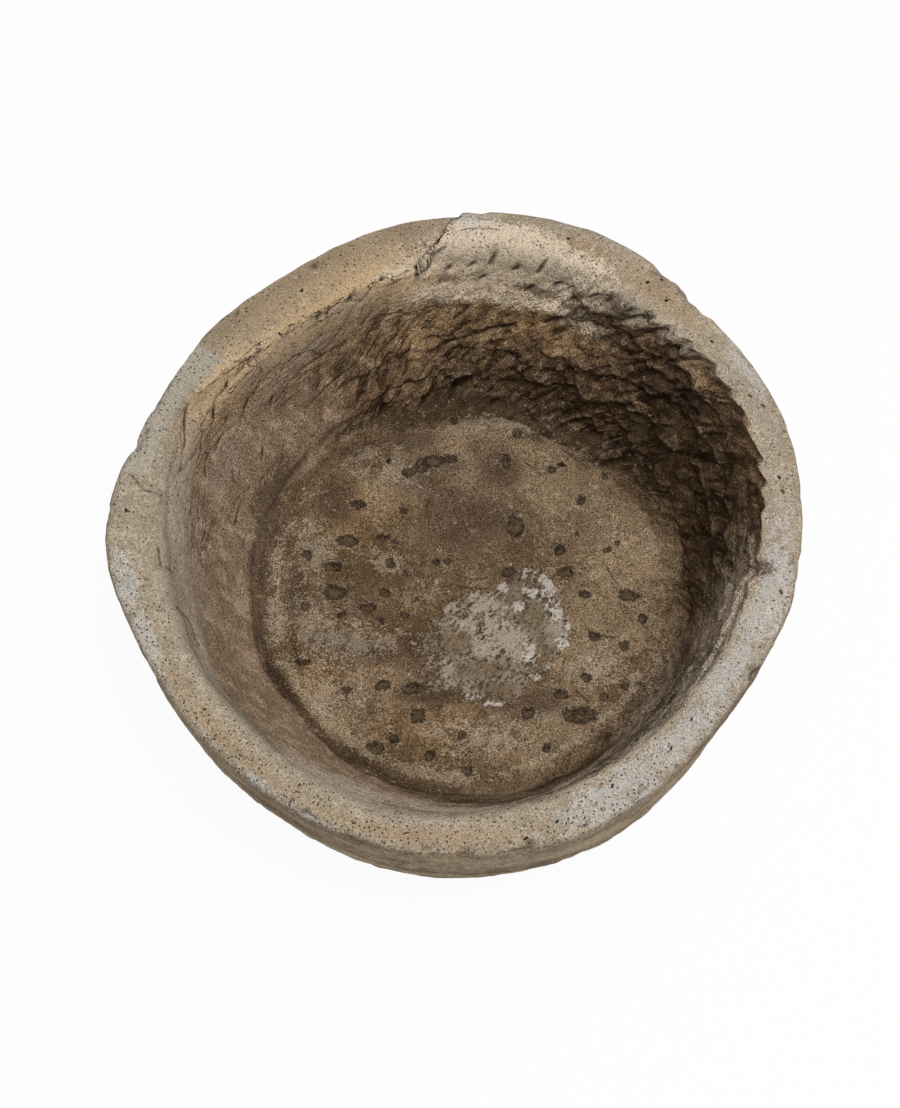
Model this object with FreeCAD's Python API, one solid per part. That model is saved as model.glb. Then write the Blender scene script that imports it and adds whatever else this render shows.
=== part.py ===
import FreeCAD, Part
import math
import os

# Round stone trough planter, hollowed by hand from one block, with a patch of lime crust on its floor.
# Millimetres, Z up, base on the ground plane. Angles run anticlockwise from +X seen from above;
# -Y is the near side and +Y the far side, where the rim is broken.

# Driving dimensions of the block
HEIGHT = 260.0
RIM_RADIUS = 311.0
BASE_INSET = 28.0
BELLY = 7.0

# Driving dimensions of the hollow
RIM_WIDTH = 43.0
CAVITY_TAPER = 48.0
WALL_HOLLOW = 5.0
FLOOR_THICKNESS = 60.0
CAVITY_SHIFT = 8.0
FLOOR_SHIFT = 16.0
COVE_RADIUS = 26.0

# Worn edges
RIM_OUTER_ROUND = 7.0
RIM_INNER_ROUND = 9.0
BASE_ROUND = 9.0

# Depth that the lip gains for each millimetre that it is worn wider
LIP_WEAR_DEPTH = 1.4

# Ledges that the mason's courses left on the far and right sides of the hollow: how deep they run at the
# far side, in shares of the wall's depth, and the height over which the wall steps back under a ledge
LEDGE_SHARES = [0.46, 0.72, 0.94]
LEDGE_UNDERCUT = 5.0

# Broken length of the far rim: a slab has come away along a sloping plane
BREAK_START = 86.0
BREAK_END = 153.0
BREAK_LEAN = 24.0
BREAK_DROP_AT_START = 15.0
BREAK_DROP_AT_END = 1.0
BREAK_SLOPE_AT_START = 15.0
BREAK_SLOPE_AT_END = 3.0

# Chip in the inner edge of the right rim
CHIP_ANGLE = 348.0
CHIP_LENGTH = 16.0
CHIP_WIDTH = 20.0

# Lime crust on the floor
CRUST_THICKNESS = 3.0
CRUST_FEATHER = 4.0

# Straight courses that make up the outer wall and each worn edge
WALL_COURSES = 6
EDGE_COURSES = 4

# How far a cutting shape runs past the faces it cuts
OVERCUT = 20.0

# Hand-dressed outlines: distance inside (-) or outside (+) the mean radius, every 18 degrees from +X
RIM_WANDER = [5, 9, 6, 12, 14, 8, -2, -12, -13, -11, 4, -1, -6, -5, 0, 4, 5, -3, -8, 1]
BASE_WANDER = [2, 1, 1, 3, 2, 1, -2, -4, -3, 0, 2, -1, -3, -6, -3, -1, 1, 2, -2, -1]
MOUTH_WANDER = [0, 7, 2, -5, 3, 6, -3, -12, -8, 2, -1, -4, -1, 4, 11, 9, 2, -4, -6, -4]
FLOOR_WANDER = [2, 2, -2, -7, -4, 2, -4, -2, -2, 0, 0, 2, 3, 1, 1, 2, 0, -4, -2, 2]

# At the same places: how much wider (+) or sharper (-) the lip is than its round, how far the ledges
# stand out of the wall, and how much higher they run than at the far side, in shares of its depth
LIP_WEAR = [-5, -5, -4, 3, 11, 12, 6, 2, 4, 8, 10, 11, 10, 8, 4, 1, -2, -3, -4, -5]
LEDGE_REACH = [6, 6, 6, 6, 6, 5, 3, 1, 0, 0, 0, 0, 0, 0, 0, 0, 1, 2, 4, 5]
LEDGE_RISE = [
    0.34, 0.31, 0.27, 0.18, 0.05, 0, 0, 0.03, 0.09, 0.14,
    0.20, 0.23, 0.26, 0.26, 0.26, 0.27, 0.29, 0.31, 0.34, 0.36,
]

# Edge of the lime crust, from the middle of the floor, in shares of the flat floor's radius
CRUST_EDGE = [
    (0.30, 0.14), (0.43, 0.08), (0.45, -0.03), (0.53, -0.19), (0.52, -0.31),
    (0.43, -0.45), (0.31, -0.56), (0.09, -0.66), (-0.06, -0.62), (-0.26, -0.52),
    (-0.28, -0.33), (-0.23, -0.18), (-0.06, -0.05), (0.13, 0.0), (0.22, 0.08),
]

MOUTH_RADIUS = RIM_RADIUS - RIM_WIDTH
FLOOR_RADIUS = MOUTH_RADIUS - CAVITY_TAPER
FLAT_RADIUS = FLOOR_RADIUS - COVE_RADIUS
BASE_RADIUS = RIM_RADIUS - BASE_INSET
WALL_DEPTH = HEIGHT - FLOOR_THICKNESS - COVE_RADIUS
LIP_DEPTHS = [RIM_INNER_ROUND + LIP_WEAR_DEPTH * wear for wear in LIP_WEAR]
STATION_ANGLE = 360.0 / len(RIM_WANDER)
NO_REACH = [0.0] * len(LEDGE_REACH)


def mix(first, second, share):
    """The value a share of the way from the first to the second."""
    return first + (second - first) * share


def rim_point(angle, radius, z):
    """A point at an angle in degrees and a radius from the middle of the trough."""
    turn = math.radians(angle)
    return FreeCAD.Vector(radius * math.cos(turn), radius * math.sin(turn), z)


def level_ring(radius, wander, z, shift=0.0):
    """A nearly round ring of points at one height: mean radius and offsets, moved by shift along X."""
    aside = FreeCAD.Vector(shift, 0, 0)
    return [rim_point(i * STATION_ANGLE, radius + off, z) + aside for i, off in enumerate(wander)]


def hollow_ring(depths, reaches):
    """A ring of points on the hollow's leaning wall, each at its depth below the rim.

    The wall leans in from the foot of the lip to the head of the cove and is hollowed by a parabola;
    each point stands out of it by its reach.
    """
    ring = []
    for i, (depth, reach) in enumerate(zip(depths, reaches)):
        share = (depth - LIP_DEPTHS[i]) / (WALL_DEPTH - LIP_DEPTHS[i])
        radius = mix(MOUTH_RADIUS + MOUTH_WANDER[i], FLOOR_RADIUS + FLOOR_WANDER[i], share)
        radius += 4 * WALL_HOLLOW * share * (1 - share) - reach
        aside = FreeCAD.Vector(mix(CAVITY_SHIFT, FLOOR_SHIFT, share), 0, 0)
        ring.append(rim_point(i * STATION_ANGLE, radius, HEIGHT - depth) + aside)
    return ring


def worn_edge(wall, flat):
    """Rings of a quarter-round edge that leaves the wall's ring upright and ends level at the flat's."""
    rings = []
    for course in range(EDGE_COURSES + 1):
        turn = math.pi / 2 * course / EDGE_COURSES
        late = 1 - math.cos(turn)
        rings.append([
            FreeCAD.Vector(mix(a.x, b.x, late), mix(a.y, b.y, late), mix(a.z, b.z, math.sin(turn)))
            for a, b in zip(wall, flat)
        ])
    return rings


def closed_curve(points):
    """One smooth closed wire through the points, its parameter growing by one from point to point."""
    curve = Part.BSplineCurve()
    curve.interpolate(Points=points, PeriodicFlag=True, Parameters=list(range(len(points) + 1)))
    return Part.Wire(curve.toShape())


def solid_through(rings):
    """A solid with straight courses between one ring and the next, closed at both ends."""
    return Part.makeLoft([closed_curve(ring) for ring in rings], True, True)


def make_block():
    """The uncut block: worn base edge, wall with a fuller belly at half height, worn rim edge."""
    wall = []
    for course in range(WALL_COURSES + 1):
        share = course / WALL_COURSES
        wall.append(level_ring(
            mix(BASE_RADIUS, RIM_RADIUS, share) + 4 * BELLY * share * (1 - share),
            [mix(low, high, share) for low, high in zip(BASE_WANDER, RIM_WANDER)],
            mix(BASE_ROUND, HEIGHT - RIM_OUTER_ROUND, share),
        ))
    base_edge = worn_edge(wall[0], level_ring(BASE_RADIUS - BASE_ROUND, BASE_WANDER, 0.0))
    rim_edge = worn_edge(wall[-1], level_ring(RIM_RADIUS - RIM_OUTER_ROUND, RIM_WANDER, HEIGHT))
    return solid_through(base_edge[::-1] + wall[1:-1] + rim_edge)


def make_ledges():
    """Rings of the ledges, from the highest down: each one's nose, and the wall stepped back under it."""
    rings = []
    for ledge in LEDGE_SHARES:
        depths = [WALL_DEPTH * (ledge - rise) for rise in LEDGE_RISE]
        rings.append(hollow_ring(depths, LEDGE_REACH))
        rings.append(hollow_ring([depth + LEDGE_UNDERCUT for depth in depths], NO_REACH))
    return rings


def make_cavity():
    """The hollow: flat floor set off to the right, coved corner, ledged wall, worn lip, open above."""
    worn = [off + wear for off, wear in zip(MOUTH_WANDER, LIP_WEAR)]
    mouth = level_ring(MOUTH_RADIUS + RIM_INNER_ROUND, worn, HEIGHT, CAVITY_SHIFT)
    above = level_ring(MOUTH_RADIUS + RIM_INNER_ROUND, worn, HEIGHT + OVERCUT, CAVITY_SHIFT)
    lip = worn_edge(hollow_ring(LIP_DEPTHS, NO_REACH), mouth)
    wall_foot = level_ring(FLOOR_RADIUS, FLOOR_WANDER, HEIGHT - WALL_DEPTH, FLOOR_SHIFT)
    floor = level_ring(FLAT_RADIUS, FLOOR_WANDER, FLOOR_THICKNESS, FLOOR_SHIFT)
    cove = worn_edge(wall_foot, floor)
    return solid_through([above] + lip[::-1] + make_ledges() + cove)


def break_section(share):
    """Upright outline of the lost slab, a share of the way along it; its floor falls inwards."""
    angle = mix(BREAK_START, BREAK_END, share)
    lean = mix(BREAK_LEAN, 0.0, share)
    drop = mix(BREAK_DROP_AT_START, BREAK_DROP_AT_END, share)
    slope = math.radians(mix(BREAK_SLOPE_AT_START, BREAK_SLOPE_AT_END, share))
    outer = RIM_RADIUS + OVERCUT
    inner = MOUTH_RADIUS - RIM_WIDTH
    fall = (RIM_RADIUS - inner) * math.tan(slope)
    rise = OVERCUT * math.tan(slope)
    return Part.makePolygon([
        rim_point(angle + lean, inner, HEIGHT - drop - fall),
        rim_point(angle, outer, HEIGHT - drop + rise),
        rim_point(angle, outer, HEIGHT + OVERCUT),
        rim_point(angle + lean, inner, HEIGHT + OVERCUT),
        rim_point(angle + lean, inner, HEIGHT - drop - fall),
    ])


def make_break():
    """The slab lost from the far rim: deepest at its steep right end, running out to the left."""
    return Part.makeLoft([break_section(share) for share in (0.0, 0.25, 0.5, 0.75, 1.0)], True, True)


def make_chip():
    """The notch of a flake struck from the inner edge of the rim: a cone that narrows outwards."""
    tip = rim_point(CHIP_ANGLE, MOUTH_RADIUS + CAVITY_SHIFT + CHIP_LENGTH, HEIGHT)
    reach = CHIP_LENGTH + OVERCUT
    mouth_radius = CHIP_WIDTH / 2 * reach / CHIP_LENGTH
    return Part.makeCone(0.0, mouth_radius, reach, tip, rim_point(CHIP_ANGLE, -1.0, 0.0))


def make_trough():
    """The block, hollowed, with the far rim broken and the inner edge chipped."""
    return make_block().cut([make_cavity(), make_break(), make_chip()]).Solids[0]


def make_crust():
    """The lime patch: its edge thins out towards a smaller upper outline."""
    middle = FreeCAD.Vector(FLOOR_SHIFT, 0, FLOOR_THICKNESS)
    lower = [middle + FreeCAD.Vector(x, y, 0) * FLAT_RADIUS for x, y in CRUST_EDGE]
    inside = sum(lower, FreeCAD.Vector()) / len(lower)
    rise = FreeCAD.Vector(0, 0, CRUST_THICKNESS)
    upper = [point + (inside - point).normalize() * CRUST_FEATHER + rise for point in lower]
    return solid_through([lower, upper])


trough = make_trough()
crust = make_crust()

# The frame's origin is under the middle of the trough's outline
box = trough.optimalBoundingBox(False, False)
to_origin = FreeCAD.Vector(-box.Center.x, -box.Center.y, 0)

os.makedirs("parts", exist_ok=True)
for name, shape in (("trough_body", trough), ("lime_crust", crust)):
    shape.translate(to_origin)
    shape.exportStep("parts/" + name + ".step")
    size = shape.optimalBoundingBox(False, False)
    print(name, shape.ShapeType, len(shape.Solids), "solid", "valid", shape.isValid(),
          "size", round(size.XLength, 1), round(size.YLength, 1), round(size.ZLength, 1),
          "volume", round(shape.Volume / 1e6, 2), "litres")
print("moved by", round(to_origin.x, 2), round(to_origin.y, 2))
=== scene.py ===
# %% [markdown]
# # A weathered stone trough planter
# The object is one block of granular stone, hollowed by hand, with a crust of lime on its floor.
# The imported CAD model is the frame: it gives the height, the level of the floor and the thickness of
# the crust.
# The two CAD solids are plain, so each is replaced by one numpy surface with chisel marks, pits and wear.

# %% Load the frame
import math

import bpy
import mathutils
import numpy as np
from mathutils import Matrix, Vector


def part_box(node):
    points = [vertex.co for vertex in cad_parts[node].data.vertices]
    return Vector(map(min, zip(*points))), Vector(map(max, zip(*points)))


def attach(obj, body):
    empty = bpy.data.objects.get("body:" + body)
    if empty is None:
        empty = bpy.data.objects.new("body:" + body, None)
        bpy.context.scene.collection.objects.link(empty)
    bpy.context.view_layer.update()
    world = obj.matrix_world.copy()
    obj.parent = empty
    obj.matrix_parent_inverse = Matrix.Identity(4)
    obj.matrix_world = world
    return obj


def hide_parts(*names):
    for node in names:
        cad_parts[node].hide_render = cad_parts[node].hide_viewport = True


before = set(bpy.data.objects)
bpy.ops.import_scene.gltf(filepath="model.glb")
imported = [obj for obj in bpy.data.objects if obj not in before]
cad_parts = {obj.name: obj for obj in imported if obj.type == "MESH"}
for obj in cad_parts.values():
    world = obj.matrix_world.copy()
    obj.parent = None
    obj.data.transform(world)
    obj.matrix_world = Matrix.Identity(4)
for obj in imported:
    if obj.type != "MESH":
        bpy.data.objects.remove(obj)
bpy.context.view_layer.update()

MM = 0.001
trough_low, trough_high = [np.array(corner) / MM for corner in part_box("trough_body")]
crust_low, crust_high = [np.array(corner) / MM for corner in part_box("lime_crust")]
HEIGHT = trough_high[2] - trough_low[2]
FLOOR_LEVEL = crust_low[2]
print("trough", np.round(trough_high - trough_low, 1), "mm, floor at", round(FLOOR_LEVEL, 1), "mm")

# %% [markdown]
# ## Camera
# The camera comes first, because the picture decides which marks can be seen. It looks down into the
# trough at 68 degrees. The image is 900 by 1108, so the 36 mm sensor lies along the tall side.

# %% Camera
VIEW_ELEVATION = math.radians(68.0)
VIEW_DISTANCE = 1553.0
VIEW_TARGET = np.array([-5.1, -45.4, HEIGHT])
FOCAL_LENGTH, SENSOR = 56.3, 36.0

camera_data = bpy.data.cameras.new("photo_camera")
camera_data.lens = FOCAL_LENGTH
camera_data.sensor_width = SENSOR
camera = bpy.data.objects.new("photo_camera", camera_data)
camera.location = MM * (VIEW_TARGET + VIEW_DISTANCE * np.array(
    [0.0, -math.cos(VIEW_ELEVATION), math.sin(VIEW_ELEVATION)]))
camera.rotation_euler = (math.pi / 2 - VIEW_ELEVATION, 0.0, 0.0)
bpy.context.collection.objects.link(camera)
bpy.context.scene.camera = camera
print("camera at", [round(value, 3) for value in camera.location])

# %% [markdown]
# ## The profile, from under the base to the middle of the floor
# A turned pot would be one profile spun round an axis. This trough is nearly that: one profile runs
# from the middle of the base, up the outside, over the rim and down to the middle of the floor.
# Each station of the profile also says how much it follows each of five hand-dressed outlines.
# All lengths are in millimetres until the mesh is made.

# %% Stations of the profile
AXIS = np.array([-1.1, -2.4])
RIM_RADIUS = 311.0
BASE_RADIUS = RIM_RADIUS - 28.0
MOUTH_RADIUS = RIM_RADIUS - 43.0
FLOOR_RADIUS = MOUTH_RADIUS - 48.0
COVE = 26.0
FLAT_RADIUS = FLOOR_RADIUS - COVE
OUTER_ROUND, INNER_ROUND, BASE_ROUND = 7.0, 9.0, 9.0
BELLY, WALL_HOLLOW = 7.0, 5.0
CAVITY_SHIFT, FLOOR_SHIFT = 8.0, 16.0
COLUMNS = 512


def station(radius, height, shift=0.0, base=0.0, rim=0.0, mouth=0.0, floor=0.0, wear=0.0, sunk=0.0):
    """One point of the profile: radius, height, shift along X, and its shares of the outlines' offsets.

    The last share, sunk, is how much of the worn lip's depth lowers the point.
    """
    return np.array([radius, height, shift, base, rim, mouth, floor, wear, sunk])


def straight(start, end, count, bulge=0.0):
    """Rings in equal steps from start, short of end; a parabola widens the radius by bulge half-way."""
    share = np.arange(count)[:, None] / count
    rings = start + (end - start) * share
    rings[:, 0] += 4 * bulge * (share * (1 - share))[:, 0]
    return rings


def quarter(start, end, count, rise_first):
    """Rings along a quarter ellipse from start, short of end: heights, or else radii, move first."""
    turn = np.arange(count)[:, None] / count * math.pi / 2
    early, late = np.sin(turn), 1 - np.cos(turn)
    rings = start + (end - start) * late
    first = [1, 8] if rise_first else [0, 3, 4, 5, 6, 7]
    rings[:, first] = (start + (end - start) * early)[:, first]
    return rings


base_middle = station(0.0, 0.0)
base_flat = station(BASE_RADIUS - BASE_ROUND, 0.0, base=1)
base_foot = station(BASE_RADIUS, BASE_ROUND, base=1)
rim_head = station(RIM_RADIUS, HEIGHT - OUTER_ROUND, rim=1)
rim_outer = station(RIM_RADIUS - OUTER_ROUND, HEIGHT, rim=1)
rim_inner = station(MOUTH_RADIUS + INNER_ROUND, HEIGHT, CAVITY_SHIFT, mouth=1, wear=1)
lip_foot = station(MOUTH_RADIUS, HEIGHT - INNER_ROUND, CAVITY_SHIFT, mouth=1, sunk=1)
cove_head = station(FLOOR_RADIUS, FLOOR_LEVEL + COVE, FLOOR_SHIFT, floor=1)
floor_edge = station(FLAT_RADIUS, FLOOR_LEVEL, FLOOR_SHIFT, floor=1)
floor_middle = station(0.0, FLOOR_LEVEL, FLOOR_SHIFT)

courses = {
    "base": straight(base_middle, base_flat, 6)[1:],
    "base_edge": quarter(base_flat, base_foot, 4, False),
    "outside": straight(base_foot, rim_head, 26, BELLY),
    "rim_edge": quarter(rim_head, rim_outer, 5, True),
    "rim": straight(rim_outer, rim_inner, 11),
    "lip": quarter(rim_inner, lip_foot, 8, False),
    "wall": straight(lip_foot, cove_head, 64, WALL_HOLLOW),
    "cove": quarter(cove_head, floor_edge, 10, True),
    "floor": straight(floor_edge, floor_middle, 58),
}
profile = np.concatenate(list(courses.values()))
course_of = np.repeat(list(courses), [len(rings) for rings in courses.values()])
print("rings", len(profile), "columns", COLUMNS, "triangles about", 2 * len(profile) * COLUMNS)

# %% [markdown]
# ## Hand-dressed outlines
# Nothing was turned, so no outline is round. Each outline wanders in and out of its mean radius.
# Offsets every 18 degrees are joined by the one sum of cosines that passes through them all, which
# needs no seam. The fifth list says how much wider the lip is worn: broad where it was rubbed on the
# left and flaked away at the far side, sharp on the right. A wide lip also reaches deeper.

# %% Outlines
RIM_WANDER = [5, 9, 6, 12, 14, 8, -2, -12, -13, -11, 4, -1, -6, -5, 0, 4, 5, -3, -8, 1]
BASE_WANDER = [2, 1, 1, 3, 2, 1, -2, -4, -3, 0, 2, -1, -3, -6, -3, -1, 1, 2, -2, -1]
MOUTH_WANDER = [0, 7, 2, -5, 3, 6, -3, -12, -8, 2, -1, -4, -1, 4, 11, 9, 2, -4, -6, -4]
FLOOR_WANDER = [2, 2, -2, -7, -4, 2, -4, -2, -2, 0, 0, 2, 3, 1, 1, 2, 0, -4, -2, 2]
LIP_WEAR = [-5, -5, -4, 3, 11, 12, 6, 2, 4, 8, 10, 11, 10, 8, 4, 1, -2, -3, -4, -5]
LIP_WEAR_DEPTH = 1.4

theta = np.arange(COLUMNS) / COLUMNS * 2 * math.pi


def smooth_wander(offsets):
    """The sum of cosines through evenly spaced offsets, read at every column."""
    waves = np.fft.rfft(offsets) / len(offsets)
    waves[1:-1] *= 2
    return (np.exp(1j * np.outer(theta, np.arange(len(waves)))) * waves).real.sum(axis=1)


lists = (BASE_WANDER, RIM_WANDER, MOUTH_WANDER, FLOOR_WANDER, LIP_WEAR)
wear = smooth_wander(LIP_WEAR)
radius = profile[:, :1] + profile[:, 3:8] @ np.stack([smooth_wander(offsets) for offsets in lists])
height = profile[:, 1:2] - profile[:, 8:] * LIP_WEAR_DEPTH * wear

# Path down the profile: 0 at the inner edge of the rim, negative on the rim and outside
steps = np.hypot(np.diff(profile[:, 0]), np.diff(profile[:, 1]))
path = np.concatenate([[0.0], np.cumsum(steps)])[:, None]
path -= path[np.argmax(course_of == "lip")]
on_floor = (course_of == "floor")[:, None]
on_wall = np.isin(course_of, ["lip", "wall", "cove"])[:, None]
print("path over the rim from", round(path[np.argmax(course_of == "rim"), 0], 1),
      "down the wall to", round(path[np.argmax(course_of == "floor"), 0], 1), "mm")

# %% [markdown]
# ## Noise for hand-made unevenness
# Stone has no straight line in it. Value noise gives repeatable unevenness: a lattice of hashed numbers,
# blended smoothly. On the wall it is read on a drum, so that it has no seam, and the drum can be
# twisted, which turns round blobs into the slanting strokes of a right-handed mason.

# %% Noise


def hashed(cells, seed):
    """A repeatable value from 0 to 1 for each lattice cell: the fraction of a large sine of its place."""
    wave = np.sin(cells @ np.array([127.1, 311.7, 74.7]) + 17.3 * seed) * 43758.5453
    return wave - np.floor(wave)


def value_noise(points, size, seed):
    """Smooth noise from -1 to 1: hashed lattice values size mm apart, blended by smooth steps."""
    scaled = points / size
    cell = np.floor(scaled)
    share = scaled - cell
    share = share * share * (3 - 2 * share)
    total = 0.0
    for corner in np.ndindex(2, 2, 2):
        weight = np.where(corner, share, 1 - share).prod(axis=-1)
        total = total + weight * hashed(cell + np.array(corner), seed)
    return 2 * total - 1


def layered_noise(points, size, seed):
    """Three layers of smooth noise, each half as large and half as strong as the one before."""
    return sum(value_noise(points, size / 2 ** k, seed + k) / 2 ** k for k in range(3))


def on_drum(slant, stretch):
    """Wall coordinates on a drum: the angle leans by slant per mm of path, and the path is stretched."""
    lean = theta + slant * path / MOUTH_RADIUS
    down = stretch * path + 0 * lean
    return np.stack([MOUTH_RADIUS * np.cos(lean), MOUTH_RADIUS * np.sin(lean), down], axis=-1)


def turn_from(angle):
    """Signed angle in degrees from the given direction to each column."""
    return np.degrees(np.angle(np.exp(1j * (theta - math.radians(angle)))))


def arc_from(angle):
    """Signed length in mm, round the mouth, from the given direction to each column."""
    return np.radians(turn_from(angle)) * MOUTH_RADIUS


def ease(value, start, end):
    """0 before start, 1 after end and a smooth step between."""
    share = np.clip((value - start) / (end - start), 0, 1)
    return share * share * (3 - 2 * share)


def sector(angle, half_width, soft):
    """1 within half_width degrees of an angle, easing to 0 over soft degrees beyond it."""
    return ease(-np.abs(turn_from(angle)), -half_width - soft, -half_width)


drum = on_drum(0.0, 1.0)
print("noise on the drum has spread", round(float(layered_noise(drum, 40.0, 1).std()), 2))

# %% [markdown]
# ## Ledges of the hollow
# The mason split the waste off in courses, and on the far and right sides each course ends in a ledge:
# the wall stands out more and more down to the ledge, then steps back under it. The ledges slope,
# deepest at the far side. The CAD solid has the same three ledges; here noise bends and breaks them,
# and weather has worn the highest one off at the far side.

# %% Ledges
LEDGE_DEPTHS = (80.0, 125.0, 163.0)
LEDGE_SINK = [
    -60, -55, -48, -32, -9, 0, 0, -5, -15, -25, -35, -40, -45, -45, -45, -48, -50, -55, -60, -62,
]
LEDGE_REACH = [6, 6, 6, 6, 6, 5, 3, 1, 0, 0, 0, 0, 0, 0, 0, 0, 1, 2, 4, 5]
LEDGE_UNDERCUT = 5.0
LEDGE_BEND = 10.0
LEDGE_WORN = (0.75, 0.15, 0.0)

depth = HEIGHT - height + LEDGE_BEND * layered_noise(drum, 44.0, 5)
sink = smooth_wander(LEDGE_SINK)
broken = np.clip(0.9 + 1.1 * layered_noise(drum, 38.0, 9), 0.1, 1.7)
reach = np.clip(smooth_wander(LEDGE_REACH), 0, None) * broken
ledge = np.zeros(depth.shape)
above = INNER_ROUND + LEDGE_UNDERCUT
far_side = sector(85.0, 35.0, 20.0)
for level, worn in zip(LEDGE_DEPTHS, LEDGE_WORN):
    nose = level + sink
    rise = np.clip((depth - above) / np.maximum(nose - above, 1.0), 0, 1)
    fall = np.clip((nose + LEDGE_UNDERCUT - depth) / LEDGE_UNDERCUT, 0, 1)
    standing = np.where(depth > above, np.where(depth <= nose, rise, fall), 0)
    ledge = ledge + (1 - worn * far_side) * standing
    above = nose + LEDGE_UNDERCUT
ledge = on_wall * reach * ledge
radius = radius - ledge
print("ledges stand out by up to", round(ledge.max(), 1), "mm")

# %% [markdown]
# ## Bites in the lip
# Along the right side the chisel broke the inner edge, and one flake left a notch. Every bite begins
# steeply and runs out slowly, like a saw tooth, because the mason worked round in one direction. The
# bites go on down the wall as slanting furrows, and fade there.

# %% Bites
BITE_LENGTH, BITE_DEPTH, BITE_REACH = 30.0, 9.0, 110.0
BITE_SLANT, BITE_START = 0.8, 0.22
BITE_ANGLE, BITE_HALF_TURN = 27.0, 42.0
CHIP_ANGLE, CHIP_LENGTH, CHIP_HALF_WIDTH, CHIP_REACH = 348.0, 15.0, 9.0, 42.0

bite_arc = arc_from(BITE_ANGLE) - BITE_SLANT * np.clip(path, 0, None)
bite_at = bite_arc / BITE_LENGTH + 0.9 * value_noise(drum, 48.0, 3)
bite_cell = np.floor(bite_at)
bite_share = bite_at - bite_cell
bite_size = 0.15 + 0.85 * hashed(np.stack([bite_cell, 0 * bite_cell, 0 * bite_cell], axis=-1), 5)
bite_shape = np.minimum(bite_share / BITE_START, (1 - bite_share) / (1 - BITE_START))
bite = BITE_DEPTH * bite_size * bite_shape * sector(BITE_ANGLE, BITE_HALF_TURN, 8.0)
from_chip = np.abs(arc_from(CHIP_ANGLE))
chip = CHIP_LENGTH * np.clip(1 - from_chip / CHIP_HALF_WIDTH, 0, 1)
on_lip = ease(path, -12.0, -2.0)
near_lip = np.where(path < 0, on_lip, 1 - ease(path, 0.0, BITE_REACH))
chipped = np.where(path < 0, on_lip, (1 - ease(path, 0.0, CHIP_REACH)) ** 3)
radius = radius + near_lip * bite + chipped * chip
print("bites up to", round(bite.max(), 1), "mm deep in the inner edge")

# %% [markdown]
# ## The broken rim
# A slab has come off the far rim along a sloping plane, and its right end is a leaning step. The rim is
# cut there by keeping the lower of the rim and the plane.

# %% Break
BREAK_START, BREAK_END, BREAK_LEAN = 86.0, 153.0, 24.0
BREAK_DROP = (15.0, 1.0)
BREAK_SLOPE = (15.0, 3.0)

degrees = np.degrees(theta)
break_outer, break_inner = RIM_RADIUS + 20.0, MOUTH_RADIUS - 43.0
break_edge = BREAK_START + BREAK_LEAN * (break_outer - radius) / (break_outer - break_inner)
break_share = (degrees - break_edge) / (BREAK_END - break_edge)
inside_break = (break_share >= 0) & (break_share <= 1)
break_share = np.clip(break_share, 0, 1)
break_drop = BREAK_DROP[0] + (BREAK_DROP[1] - BREAK_DROP[0]) * break_share
break_slope = np.radians(BREAK_SLOPE[0] + (BREAK_SLOPE[1] - BREAK_SLOPE[0]) * break_share)
break_top = HEIGHT - break_drop - (RIM_RADIUS - radius) * np.tan(break_slope)
height = np.where(inside_break & (height > break_top), break_top, height)

plain = np.stack([
    AXIS[0] + profile[:, 2:3] + radius * np.cos(theta),
    AXIS[1] + radius * np.sin(theta),
    height,
], axis=-1)
print("plain surface spans", np.round(np.ptp(plain.reshape(-1, 3), axis=0), 1), "mm")

# %% [markdown]
# ## Chisel marks
# Each blow of the point threw off a flake. Flake scars are cells: every point of the wall finds its
# nearest jittered cell middle and takes that cell's own tilted plane. On the right the point was driven
# along the wall and left slanting furrows: the folded noise -|n| has rounded troughs and sharp crests.

# %% Relief of the hollow's wall


def flake_scars(width, height, slant, seed):
    """Tilted planes of the nearest cell, from about -1 to 1.

    Cells are width by height mm, a whole number round the wall, leaning by slant mm per mm down, and
    their rows are bent by noise so that no two courses run alike.
    """
    count = round(2 * math.pi * MOUTH_RADIUS / width)
    across = theta / (2 * math.pi) * count + slant * path / width
    across = across + 0.45 * layered_noise(drum, 2.0 * width, seed)
    down = path / height + 0.8 * layered_noise(drum, 3.0 * height, seed + 3)
    nearest = np.full(across.shape, np.inf)
    plane = np.zeros(across.shape)
    for step in np.ndindex(3, 3):
        column, row = np.floor(across) + step[0] - 1, np.floor(down) + step[1] - 1
        key = np.stack([np.mod(column, count), row, 0 * row], axis=-1)
        tilt, lift = hashed(key, seed + 6), hashed(key, seed + 7)
        off_across = across - column - 0.5 - 0.9 * (hashed(key, seed + 8) - 0.5)
        off_down = down - row - 0.5 - 0.9 * (hashed(key, seed + 9) - 0.5)
        gap = off_across ** 2 + off_down ** 2
        own_plane = 0.9 * off_down + 1.2 * (tilt - 0.4) * off_across + 1.1 * (lift - 0.5)
        plane = np.where(gap < nearest, own_plane, plane)
        nearest = np.minimum(gap, nearest)
    return plane


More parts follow.
